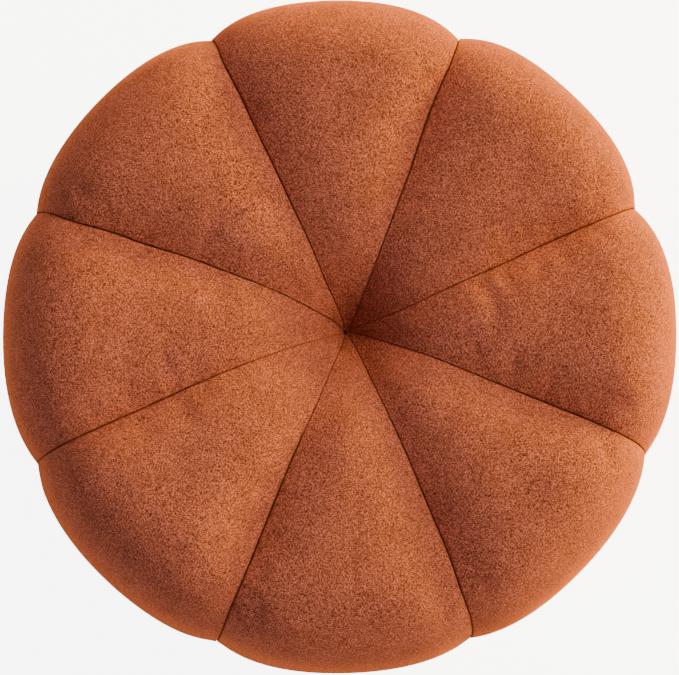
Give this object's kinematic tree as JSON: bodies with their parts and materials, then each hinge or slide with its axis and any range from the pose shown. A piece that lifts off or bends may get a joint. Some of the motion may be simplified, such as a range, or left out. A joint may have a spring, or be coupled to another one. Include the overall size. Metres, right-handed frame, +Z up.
{
  "type": "pumpkin-shaped upholstered pouf",
  "caption": "Low round upholstered pouf shaped like a pumpkin: puffed velvet lobes meet at a pinched centre over foam and a timber drum, standing on small glides.",
  "frame": {"origin": "on the floor, under the middle of the drum frame", "axes": "+Z up; lobes are centred on +X and every 45 degrees from it, with a seam midway between each two"},
  "size_m": [0.6, 0.6, 0.4],
  "materials": {
    "cover_velvet": "short-pile velvet, burnt orange",
    "seat_foam": "open-cell upholstery foam",
    "plywood": "unfinished plywood",
    "timber": "sawn softwood",
    "hardboard": "hardboard sheet",
    "dust_cloth": "non-woven cloth",
    "glide_plastic": "moulded, matte black",
    "screw_steel": "zinc plated",
    "twine": "waxed twine"
  },
  "bodies": {
    "root": {"cover_gore_1": "cover_velvet", "cover_gore_2": "cover_velvet", "cover_gore_3": "cover_velvet", "cover_gore_4": "cover_velvet", "cover_gore_5": "cover_velvet", "cover_gore_6": "cover_velvet", "cover_gore_7": "cover_velvet", "cover_gore_8": "cover_velvet", "foam_lobe_1": "seat_foam", "foam_lobe_2": "seat_foam", "foam_lobe_3": "seat_foam", "foam_lobe_4": "seat_foam", "foam_lobe_5": "seat_foam", "foam_lobe_6": "seat_foam", "foam_lobe_7": "seat_foam", "foam_lobe_8": "seat_foam", "top_board": "plywood", "base_board": "plywood", "frame_post_1": "timber", "frame_post_2": "timber", "frame_post_3": "timber", "frame_post_4": "timber", "frame_post_5": "timber", "frame_post_6": "timber", "tuft_toggle": "timber", "drum_sleeve": "hardboard", "dust_cover": "dust_cloth", "foot_1": "glide_plastic", "foot_2": "glide_plastic", "foot_3": "glide_plastic", "foot_4": "glide_plastic", "top_screw_1": "screw_steel", "top_screw_2": "screw_steel", "top_screw_3": "screw_steel", "top_screw_4": "screw_steel", "top_screw_5": "screw_steel", "top_screw_6": "screw_steel", "base_screw_1": "screw_steel", "base_screw_2": "screw_steel", "base_screw_3": "screw_steel", "base_screw_4": "screw_steel", "base_screw_5": "screw_steel", "base_screw_6": "screw_steel", "foot_screw_1": "screw_steel", "foot_screw_2": "screw_steel", "foot_screw_3": "screw_steel", "foot_screw_4": "screw_steel", "tuft_cord": "twine"}
  },
  "joints": []
}
